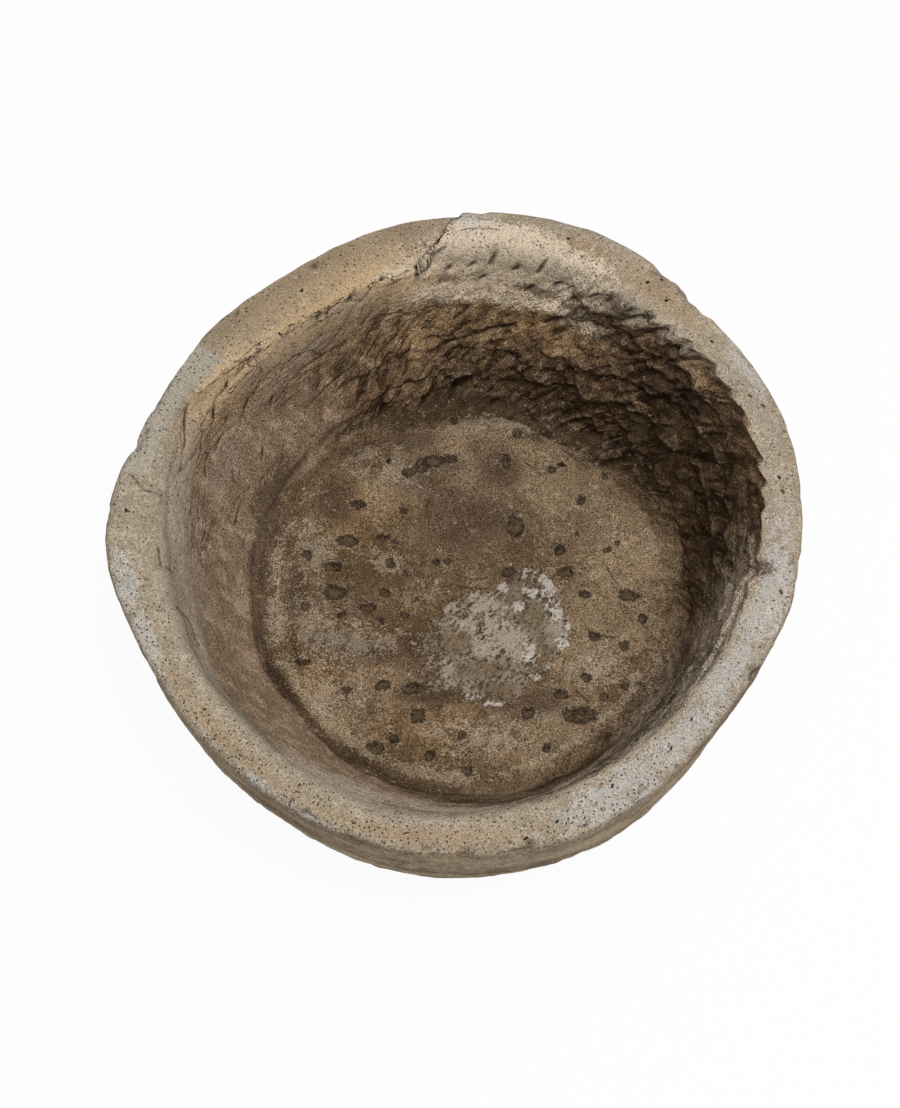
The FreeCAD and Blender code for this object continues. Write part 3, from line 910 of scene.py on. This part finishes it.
ATTRIBUTE, COORDINATE, NOISE = "ShaderNodeAttribute", "ShaderNodeTexCoord", "ShaderNodeTexNoise"
MATH, RANGE, MIX, BUMP = "ShaderNodeMath", "ShaderNodeMapRange", "ShaderNodeMix", "ShaderNodeBump"
VECTOR, CELLS = "ShaderNodeVectorMath", "ShaderNodeTexVoronoi"
MAPPING, SURFACE, OUTPUT = "ShaderNodeMapping", "ShaderNodeBsdfPrincipled", "ShaderNodeOutputMaterial"
SOFT = {"interpolation_type": "SMOOTHSTEP"}
PAINT = {"out": 2, "data_type": "RGBA"}


def new_material(name):
    """An empty node material and its tree."""
    material = bpy.data.materials.new(name)
    material.use_nodes = True
    material.node_tree.nodes.clear()
    return material, material.node_tree


def per_metre(size):
    """Scale of a noise whose features are size mm long."""
    return 1 / (size * MM)


print("colour check", [round(value, 3) for value in linear("9D9082")])

# %% [markdown]
# ### Ragged edges
# A stain on granular stone never ends in a clean line: its edge creeps between the grains. So one ragged
# value, made of three sizes of noise, is added to every field before the field is cut. The same value
# gives the light and dark blotches of each ground.

# %% Ragged value, torn edges and finish
RAGGED_WEIGHTS = {"grit": 1.5, "mottle": 1.3, "blotch": 1.0}
RAGGED_SHIFT = -1.9


def ragged_value(tree, noise):
    """Grit, mottle and blotches added up, about 0 on average and mostly between -0.6 and 0.6."""
    value = RAGGED_SHIFT
    for label, weight in RAGGED_WEIGHTS.items():
        value = add(tree, MATH, {0: noise[label], 1: weight, 2: value}, operation="MULTIPLY_ADD")
    return value


def torn_noise(tree, value, ragged, gain, shift, tear):
    """A noise times gain plus shift, about 0 on average, plus tear times the ragged value."""
    spread = add(tree, MATH, {0: value, 1: gain, 2: shift}, operation="MULTIPLY_ADD")
    return add(tree, MATH, {0: ragged, 1: tear, 2: spread}, operation="MULTIPLY_ADD")


def torn_cut(tree, mask, ragged, tear, low, high, strength=1.0):
    """The mask plus tear times the ragged value, eased from 0 at low to the strength at high."""
    torn = add(tree, MATH, {0: ragged, 1: tear, 2: mask}, operation="MULTIPLY_ADD")
    return add(tree, RANGE, {0: torn, 1: low, 2: high, 3: 0.0, 4: strength}, **SOFT)


def stain(tree, ground, colour, mask, ragged, strength, tear, soft):
    """A colour laid over the ground: the mask is torn by the ragged value, cut at 0 and thinned."""
    cover = torn_cut(tree, mask, ragged, tear, -soft, soft, strength)
    return add(tree, MIX, {0: cover, 6: ground, 7: linear(colour)}, **PAINT)


def blotched(tree, ragged, dark, middle, light):
    """A ground in three tones: the ragged value cuts islands of the middle one, then of the light one."""
    ground = stain(tree, linear(dark), middle, ragged, ragged, 1.0, 0.0, 0.3)
    lighter = add(tree, MATH, {0: ragged, 1: -0.28}, operation="ADD")
    return stain(tree, ground, light, lighter, ragged, 1.0, 0.3, 0.3)


def facets(tree, where, size):
    """Height in metres of flat flakes with sharp edges: each Voronoi cell is a plane with its own tilt.

    The height is the dot product of the way from the cell's middle with the cell's random direction.
    """
    cell = add(tree, CELLS, {"Vector": where, "Scale": per_metre(size)}).node.outputs
    away = add(tree, VECTOR, {0: where, 1: cell["Position"]}, operation="SUBTRACT")
    tilt = add(tree, VECTOR, {0: cell["Color"], 1: (0.5, 0.5, 0.5)}, operation="SUBTRACT")
    return add(tree, VECTOR, {0: away, 1: tilt}, out=1, operation="DOT_PRODUCT")


def matt_finish(tree, colour, rough, relief_mm, terms):
    """Ends a tree: each value times its height in mm joins the relief, and the bump shades by its slope.

    Dust and open pores swallow most of the mirror-like part of the light, so the specular level is low.
    """
    for value, amount in terms:
        relief_mm = add(tree, MATH, {0: value, 1: amount, 2: relief_mm}, operation="MULTIPLY_ADD")
    bump = add(tree, BUMP, {"Strength": 1.0, "Distance": MM, "Height": relief_mm})
    shader = add(tree, SURFACE, {
        "Base Color": colour, "Roughness": rough, "IOR": 1.5, "Specular IOR Level": 0.15, "Normal": bump,
    })
    add(tree, OUTPUT, {"Surface": shader})


print("a ragged edge mixes", RAGGED_WEIGHTS)

# %% [markdown]
# ### Weathered sandstone
# The stone is a coarse sandstone, split and dressed with a point, then weathered for decades. Its sand
# grains give a fine speckle, and lost grains leave dark pores. Rain has greyed and stained the rim,
# while soil has browned the hollow. Grains are drawn 1.1 mm wide, as fine as the image can show. Most
# patterns lie in the block itself, on Object coordinates. Strokes and flakes follow the wall, so they
# read the drum's coordinates from attributes, and noise bends them.

# %% Coordinates and noises of the stone
FLAKE_BEND, CRACK_BEND = 10.0 * MM, 6.0 * MM
stone, tree = new_material("weathered_sandstone")
place = add(tree, COORDINATE, out=3)
level_bands = add(tree, MAPPING, {"Vector": place, "Scale": (0.22, 0.22, 1.0)})
upright_bands = add(tree, MAPPING, {"Vector": place, "Scale": (1.0, 1.0, 0.1)})
stroke_place, flake_place, band_place = [
    add(tree, ATTRIBUTE, out=1, attribute_name=label) for label in ("strokes", "flakes", "bands")
]
bend = add(tree, NOISE, {"Vector": place, "Scale": per_metre(14.0), "Detail": 3.0}, out=1)
flake_place = add(tree, VECTOR, {0: bend, 1: (FLAKE_BEND,) * 3, 2: flake_place}, operation="MULTIPLY_ADD")
crack_place = add(tree, VECTOR, {0: bend, 1: (CRACK_BEND,) * 3, 2: band_place}, operation="MULTIPLY_ADD")
field = {label: add(tree, ATTRIBUTE, out=2, attribute_name=label) for label in fields}
noise = {
    label: add(tree, NOISE, {
        "Vector": where, "Scale": per_metre(size), "Detail": detail, "Roughness": rough,
    })
    for label, where, size, detail, rough in (
        ("grain", place, 1.1, 1.0, 0.5), ("grit", place, 2.6, 2.0, 0.7), ("mottle", place, 9.0, 4.0, 0.7),
        ("blotch", place, 30.0, 5.0, 0.68), ("cloud", place, 90.0, 4.0, 0.6),
        ("strokes", stroke_place, 3.0, 3.0, 0.65), ("level", level_bands, 60.0, 5.0, 0.6),
        ("layer", crack_place, 8.0, 4.0, 0.65), ("upright", upright_bands, 16.0, 3.0, 0.55),
    )
}
print("noises", ", ".join(noise))

# %% [markdown]
# Five grounds lie under all the stains, each in three tones: the rim is blotched, the walls run in
# upright bands, the floor is clouded and the outer wall has level bands of weathering. Each row of
# TORN gives a noise's gain and shift, and how much the ragged value tears it.

# %% Grounds of the stone
TORN = {
    "cloud": (1.4, -0.6, 0.7), "upright": (1.8, -0.9, 0.6), "level": (2.4, -1.1, 0.7),
    "layer": (1.8, -0.9, 1.1),
}
STONE = {
    "rim": ("ragged", "9B8C78", "B0A18C", "C6B9A5"),
    "wall": ("upright", "8C765F", "A38B72", "B8A087"),
    "split": ("upright", "775F47", "907557", "A98C6A"),
    "floor": ("cloud", "58452F", "745F48", "937D63"),
    "outside": ("level", "7A654F", "9D886E", "BBA88E"),
}
ragged = ragged_value(tree, noise)
torn = {label: torn_noise(tree, noise[label], ragged, *row) for label, row in TORN.items()}
torn["ragged"] = ragged
grounds = {label: blotched(tree, torn[by], *tones) for label, (by, *tones) in STONE.items()}
walled = add(tree, MIX, {0: field["split_face"], 6: grounds["wall"], 7: grounds["split"]}, **PAINT)
foot = torn_cut(tree, field["flat"], torn["layer"], 0.6, 0.25, 0.75)
hollowed = add(tree, MIX, {0: foot, 6: walled, 7: grounds["floor"]}, **PAINT)
inner_edge = torn_cut(tree, field["inside"], ragged, 0.6, 0.1, 0.9)
colour = add(tree, MIX, {0: inner_edge, 6: grounds["rim"], 7: hollowed}, **PAINT)
colour = add(tree, MIX, {0: field["outside"], 6: colour, 7: grounds["outside"]}, **PAINT)
print("grounds", ", ".join(grounds))

# %% [markdown]
# Stains lie over the grounds, the lowest first. Tan, ochre and sand are colours of the stone itself.
# Flecks, grey lavender and soot came with the weather, and pale stone was bared later. Soil, dry dust,
# dark grooves and damp belong to the hollow, and chalk, scuffs and the white bloom of salts come last.
# The dry dust on the near walls is partly painted light, since those walls lie in shade.
# A row gives the colour, what tears the edge, the strength, how far the edge is torn and how soft it is.

# %% Stains of the stone
STAINS = {
    "tan": ("DABE98", "ragged", 0.8, 1.2, 0.5),
    "ochre": ("A38560", "ragged", 0.45, 1.4, 0.6),
    "sand": ("A18C70", "ragged", 0.4, 1.2, 0.6),
    "fleck": ("67543B", "ragged", 0.3, 2.2, 0.3),
    "lavender": ("A09488", "ragged", 0.35, 1.4, 0.4),
    "ground_patch": ("ADA595", "ragged", 0.85, 0.25, 0.12),
    "pale": ("D9C7AF", "ragged", 0.9, 1.9, 0.3),
    "soot": ("6A6054", "ragged", 0.45, 1.6, 0.3),
    "soil": ("47362A", "ragged", 0.66, 1.8, 0.22),
    # Pale dust, partly painted light on the shaded near walls.
    "dust_and_light": ("DACAB5", "ragged", 0.9, 0.8, 0.6),
    "groove": ("43362A", "layer", 0.55, 2.2, 0.4),
    "damp": ("3A2A1B", "layer", 0.72, 1.5, 0.16),
    "chalk": ("AC9D88", "ragged", 0.45, 3.0, 0.35),
    "scuff": ("AA997F", "layer", 0.45, 1.8, 0.22),
    "bloom": ("C6C6C4", "ragged", 0.4, 2.2, 0.35),
}
for label, (tint, torn_by, *cut) in STAINS.items():
    colour = stain(tree, colour, tint, field[label], torn[torn_by], *cut)
print("stains", ", ".join(STAINS))

# %% [markdown]
# Painted light and shade of the relief: crests are painted lighter as a highlight, and hollows are
# painted darker as shade, partly dirt.
# A pit of the floor has a pale, worn halo, a dark ragged wall that is painted shade, and some dust on its
# bottom.

# %% Painted highlight on crests, painted shade in hollows, and pits
# Colours of the painted highlight on crests and the painted shade in hollows; the dark one also fills the
# splits between flakes.
CREST_HIGHLIGHT_COLOUR, CREVICE_SHADE_AND_SPLIT_COLOUR = "B39E84", "2C1E12"
PIT_SHADE = 0.85

painted_crest_highlight = add(tree, RANGE, {0: field["hollow"], 1: -0.25, 2: -1.0, 3: 0.0, 4: 0.3}, **SOFT)
painted_crevice_shade = add(tree, RANGE, {0: field["hollow"], 1: 0.15, 2: 1.0, 3: 0.0, 4: 0.65}, **SOFT)
for cover, tint in ((painted_crest_highlight, CREST_HIGHLIGHT_COLOUR), (painted_crevice_shade, CREVICE_SHADE_AND_SPLIT_COLOUR)):
    colour = add(tree, MIX, {0: cover, 6: colour, 7: linear(tint)}, **PAINT)
pit_halo = add(tree, RANGE, {0: field["pit"], 1: -0.5, 2: -0.05, 3: -0.8, 4: 0.2})
colour = stain(tree, colour, "B5A68F", pit_halo, ragged, 0.4, 1.8, 0.25)
# Painted shade: the ragged wall of each pit is darkened as if it lay in its own shade.
pit_cut = torn_cut(tree, field["pit"], ragged, 0.9, -0.05, 0.2)
painted_pit_shade = add(tree, MATH, {0: pit_cut, 1: PIT_SHADE}, operation="MULTIPLY")
colour = add(tree, MIX, {0: painted_pit_shade, 6: colour, 7: linear("36281B")}, **PAINT)
pit_floor = add(tree, MATH, {0: field["pit"], 1: -0.45}, operation="ADD")
colour = stain(tree, colour, "6E5A45", pit_floor, ragged, 0.6, 1.6, 0.3)
print("pits shaded by", PIT_SHADE)

# %% [markdown]
# Grain covers every stain: the grain noise makes the colour lighter and darker, more so in the hollow.
# Lost grains leave pores, drawn as small discs in the middle of some Voronoi cells. A dark stroke of the
# point is where the noise wound on the twisted drum runs low, on the wall only.

# %% Grain, pores and strokes
PORE_SPACING = 3.6
SMOOTH_CONTRAST, ROUGH_CONTRAST = 0.42, 0.82

contrast = add(tree, RANGE, {0: field["inside"], 3: SMOOTH_CONTRAST, 4: ROUGH_CONTRAST})
speckle = add(tree, RANGE, {0: noise["grain"], 1: 0.32, 2: 0.68, 3: -1.0, 4: 1.0})
speckle = add(tree, MATH, {0: speckle, 1: contrast, 2: 1.0}, operation="MULTIPLY_ADD")
colour = add(tree, MIX, {0: 1.0, 6: colour, 7: speckle}, blend_type="MULTIPLY", **PAINT)
pore = add(tree, CELLS, {"Vector": place, "Scale": per_metre(PORE_SPACING)}).node.outputs
some = add(tree, MATH, {0: field["porous"], 1: 0.3, 2: pore["Color"]}, operation="MULTIPLY_ADD")
some = add(tree, RANGE, {0: some, 1: 0.2, 2: 0.45, 3: 0.0, 4: 0.9}, **SOFT)
pores = add(tree, RANGE, {0: pore["Distance"], 1: 0.3, 2: 0.15, 3: 0.0, 4: 1.0}, **SOFT)
pores = add(tree, MATH, {0: pores, 1: some}, operation="MULTIPLY")
wall_only = add(tree, MATH, {0: field["inside"], 1: field["flat"]}, operation="SUBTRACT")
stroke = add(tree, RANGE, {0: noise["strokes"], 1: 0.38, 2: 0.28, 3: 0.0, 4: 0.45}, **SOFT)
stroke = add(tree, MATH, {0: stroke, 1: wall_only}, operation="MULTIPLY")
print("pores", PORE_SPACING, "mm apart")

# %% [markdown]
# Splits are the edges of flakes: the borders of Voronoi cells on the slanting drum, gaping here and
# closed there. Crackle is the same on the level drum, open only in the cracked patches. The single
# marks are cut out of their fields last.

# %% Splits, crackle and marks
FLAKE_SIZE, CRACKLE_SIZE = 13.0, 8.0
MARKS = {
    "peck": ("3A2F27", 0.5, 0.3, 0.8, 0.75), "crack": ("33271D", 0.5, 0.62, 0.92, 0.75),
    "hole": ("241C16", 0.0, 0.35, 0.6, 1.0), "pebble": ("6A4630", 0.0, 0.2, 0.4, 1.0),
}

split, crackle = [
    add(tree, CELLS, {"Vector": where, "Scale": per_metre(size)}, feature="DISTANCE_TO_EDGE")
    for where, size in ((flake_place, FLAKE_SIZE), (crack_place, CRACKLE_SIZE))
]
split = torn_cut(tree, split, ragged, -0.12, 0.045, -0.02, 0.7)
split = add(tree, MATH, {0: split, 1: field["dressed"]}, operation="MULTIPLY")
gaping = add(tree, RANGE, {0: noise["blotch"], 1: 0.4, 2: 0.6, 3: 0.2, 4: 1.0}, **SOFT)
split = add(tree, MATH, {0: split, 1: gaping}, operation="MULTIPLY")
crackle = torn_cut(tree, crackle, ragged, -0.05, 0.06, 0.0, 0.8)
open_only = add(tree, MATH, {0: noise["blotch"], 1: field["cracked"]}, operation="ADD")
open_only = add(tree, RANGE, {0: open_only, 1: 0.7, 2: 0.95, 3: 0.0, 4: 1.0}, **SOFT)
crackle = add(tree, MATH, {0: crackle, 1: open_only}, operation="MULTIPLY")
covers = [(pores, "41372D"), (stroke, "3B2E23"), (split, CREVICE_SHADE_AND_SPLIT_COLOUR), (crackle, "3A2C20")]
for label, (tint, *cut) in MARKS.items():
    covers.append((torn_cut(tree, field[label], ragged, *cut), tint))
for cover, tint in covers:
    colour = add(tree, MIX, {0: cover, 6: colour, 7: linear(tint)}, **PAINT)
print("marks", ", ".join(MARKS))

# %% [markdown]
# The finest relief is a bump, in mm: tilted facets on the dressed wall, then grain, grit and mottle
# everywhere, with pores, strokes, pits and crackle sunk in.

# %% Finish of the stone
FACET_SIZE = 5.0
FLAKE_RELIEF = 2.0 / MM

flaked = add(tree, MATH, {
    0: facets(tree, flake_place, FLAKE_SIZE), 1: facets(tree, stroke_place, FACET_SIZE),
}, operation="ADD")
flaked = add(tree, MATH, {0: flaked, 1: FLAKE_RELIEF}, operation="MULTIPLY")
flaked = add(tree, MATH, {0: flaked, 1: field["dressed"]}, operation="MULTIPLY")
matt = add(tree, RANGE, {0: noise["grain"], 1: 0.3, 2: 0.7, 3: 0.86, 4: 0.98})
matt_finish(tree, colour, matt, flaked, (
    (noise["grain"], 0.5), (noise["grit"], 1.2), (noise["mottle"], 2.2), (pores, -0.9), (stroke, -1.2),
    (pit_cut, -3.0), (crackle, -1.0),
))
trough.data.materials.append(stone)
print("stone nodes", len(tree.nodes))

# %% [markdown]
# ### Lime crust
# The crust is hard-water lime, dried in layers and brushed about while wet. It is chalky and matt, pale
# where it is thick and brown where the stone shows through. The brush marks run from lower left to
# upper right, so the noise is turned that way and drawn out.

# %% Lime material
BRUSH_TURN = math.radians(50.0)
LIME_ROUGHNESS = 0.95

lime, tree = new_material("chalky_lime")
place = add(tree, COORDINATE, out=3)
turned = add(tree, MAPPING, {
    "Vector": place, "Rotation": (0.0, 0.0, BRUSH_TURN), "Scale": (3.0, 1.0, 1.0),
}, vector_type="TEXTURE")
noise = {
    label: add(tree, NOISE, {
        "Vector": where, "Scale": per_metre(size), "Detail": detail, "Roughness": rough,
    })
    for label, where, size, detail, rough in (
        ("grain", place, 1.1, 1.0, 0.5), ("grit", place, 2.6, 2.0, 0.7), ("mottle", place, 7.0, 4.0, 0.7),
        ("blotch", place, 30.0, 5.0, 0.68), ("brushed", turned, 4.0, 3.0, 0.65),
    )
}
field = {label: add(tree, ATTRIBUTE, out=2, attribute_name=label) for label in crust_fields}
ragged = ragged_value(tree, noise)
brushed = torn_noise(tree, noise["brushed"], ragged, 1.8, -0.9, 0.7)
colour = blotched(tree, ragged, "564635", "786551", "93826D")
for label, tint, torn_by, *cut in (
    ("inner", "A5998A", brushed, 0.6, 2.4, 0.3), ("palest", "B3A796", brushed, 0.75, 2.0, 0.35),
    ("bare", "79674F", ragged, 0.65, 1.2, 0.3), ("white", "D2CBC0", brushed, 0.7, 2.0, 0.35),
):
    colour = stain(tree, colour, tint, field[label], torn_by, *cut)
pores = add(tree, RANGE, {0: noise["grit"], 1: 0.42, 2: 0.30, 3: 0.0, 4: 0.75}, **SOFT)
colour = add(tree, MIX, {0: pores, 6: colour, 7: linear("4A3C2F")}, **PAINT)
speckle = add(tree, RANGE, {0: noise["grain"], 1: 0.28, 2: 0.72, 3: 0.62, 4: 1.38})
colour = add(tree, MIX, {0: 1.0, 6: colour, 7: speckle}, blend_type="MULTIPLY", **PAINT)
matt_finish(tree, colour, LIME_ROUGHNESS, 0.0, (
    (noise["grit"], 1.2), (noise["brushed"], 1.4), (noise["mottle"], 1.6), (pores, -0.8),
))
crust.data.materials.append(lime)
print("lime nodes", len(tree.nodes))

# %% [markdown]
# ## Floor and light
# The photograph has a plain white ground. The floor is white paper: camera rays see it mostly as white
# of strength 1, and the rest of it is matt, so that it keeps a soft shadow. One large soft lamp stands
# high on the right, and a weak even sky fills in, which leaves the right wall of the hollow dark.

# %% Paper floor
FLOOR_SIZE = 12.0
PAPER_WHITE = 0.95
corner = FLOOR_SIZE / 2
floor_mesh = bpy.data.meshes.new("paper_floor")
floor_corners = [(-corner, -corner, 0), (corner, -corner, 0), (corner, corner, 0), (-corner, corner, 0)]
floor_mesh.from_pydata(floor_corners, [], [(0, 1, 2, 3)])
floor = bpy.data.objects.new("paper_floor", floor_mesh)
bpy.context.collection.objects.link(floor)
paper, tree = new_material("white_paper")
rays = add(tree, "ShaderNodeLightPath").node.outputs
seen = add(tree, MATH, {0: rays["Is Camera Ray"], 1: rays["Is Glossy Ray"]}, operation="MAXIMUM")
seen = add(tree, MATH, {0: seen, 1: rays["Is Transmission Ray"]}, operation="MAXIMUM")
seen = add(tree, MATH, {0: seen, 1: PAPER_WHITE}, operation="MULTIPLY")
matt = add(tree, "ShaderNodeBsdfDiffuse", {"Color": linear("F2F1EF")})
white = add(tree, "ShaderNodeEmission", {"Color": (1.0, 1.0, 1.0, 1.0), "Strength": 1.0})
add(tree, OUTPUT, {"Surface": add(tree, "ShaderNodeMixShader", {0: seen, 1: matt, 2: white})})
floor_mesh.materials.append(paper)
print("paper floor", FLOOR_SIZE, "m wide")

# %% Lamp and sky
KEY_DIRECTION = np.array([0.22, -0.11, 0.97])
KEY_DISTANCE, KEY_SIZE, KEY_POWER = 2.6, 1.5, 57.0
SKY_STRENGTH = 0.3
key_data = bpy.data.lights.new("key", "AREA")
key_data.shape = "DISK"
key_data.size = KEY_SIZE
key_data.energy = KEY_POWER
key = bpy.data.objects.new("key", key_data)
key.location = KEY_DIRECTION / np.linalg.norm(KEY_DIRECTION) * KEY_DISTANCE + (0, 0, HEIGHT * MM)
key.rotation_euler = mathutils.Vector(KEY_DIRECTION).to_track_quat("Z", "Y").to_euler()
bpy.context.collection.objects.link(key)

world = bpy.data.worlds.new("even_sky")
world.use_nodes = True
world.node_tree.nodes.clear()
tree = world.node_tree
sky = add(tree, "ShaderNodeBackground", {"Color": (1.0, 1.0, 1.0, 1.0), "Strength": SKY_STRENGTH})
add(tree, "ShaderNodeOutputWorld", {"Surface": sky})
bpy.context.scene.world = world
bpy.context.scene.view_settings.view_transform = "Standard"
print("key lamp", KEY_POWER, "W, sky", SKY_STRENGTH)

# %% [markdown]
# ## Tie the pieces to the frame
# Each piece rides on the CAD's only body, and the CAD node that it replaces is hidden.

# %% Frame
for piece, node, finish in ((trough, "trough_body", "weathered_stone"), (crust, "lime_crust", "lime")):
    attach(piece, "root")
    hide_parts(node)
